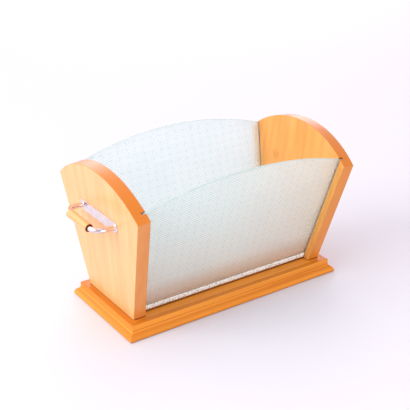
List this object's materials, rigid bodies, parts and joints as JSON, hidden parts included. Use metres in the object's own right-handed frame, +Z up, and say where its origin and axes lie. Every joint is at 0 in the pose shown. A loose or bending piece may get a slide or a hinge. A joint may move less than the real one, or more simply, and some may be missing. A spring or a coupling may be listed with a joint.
{
  "type": "magazine rack",
  "caption": "Open magazine rack: splayed wooden end panels on a moulded base, lift-out panes of patterned glass between them, and a chromed handle with a wooden grip at each end.",
  "frame": {"origin": "centre of the base's footprint, on the surface the rack stands on", "axes": "+X from the left end panel to the right one, along the panes; +Y from the front pane to the back one; +Z up"},
  "size_m": [0.4944, 0.247, 0.2621],
  "materials": {
    "board_wood": "gloss",
    "moulding_wood": "gloss",
    "panel_wood": "gloss",
    "grip_wood": "gloss",
    "plug_wood": "gloss",
    "patterned_glass": "patterned",
    "glazing_putty": "matte",
    "handle_chrome": "polished",
    "screw_steel": "satin"
  },
  "bodies": {
    "rack": {"base_board": "board_wood", "front_moulding": "moulding_wood", "back_moulding": "moulding_wood", "front_glass_bead": "glazing_putty", "back_glass_bead": "glazing_putty", "left_moulding": "moulding_wood", "left_panel": "panel_wood", "left_panel_screws": "screw_steel", "left_handle_plate": "handle_chrome", "left_handle_legs": "handle_chrome", "left_handle_grip": "grip_wood", "left_handle_screws": "screw_steel", "left_screw_plugs": "plug_wood", "right_moulding": "moulding_wood", "right_panel": "panel_wood", "right_panel_screws": "screw_steel", "right_handle_plate": "handle_chrome", "right_handle_legs": "handle_chrome", "right_handle_grip": "grip_wood", "right_handle_screws": "screw_steel", "right_screw_plugs": "plug_wood"},
    "front_pane": {"front_glass": "patterned_glass"},
    "back_pane": {"back_glass": "patterned_glass"}
  },
  "joints": [
    {"name": "front_glass_lift", "type": "slide", "parent": "rack", "child": "front_pane", "axis": [0, -0.2657, 0.9641], "range_m": [0, 0.22]},
    {"name": "back_glass_lift", "type": "slide", "parent": "rack", "child": "back_pane", "axis": [0, 0.2657, 0.9641], "range_m": [0, 0.22]}
  ]
}
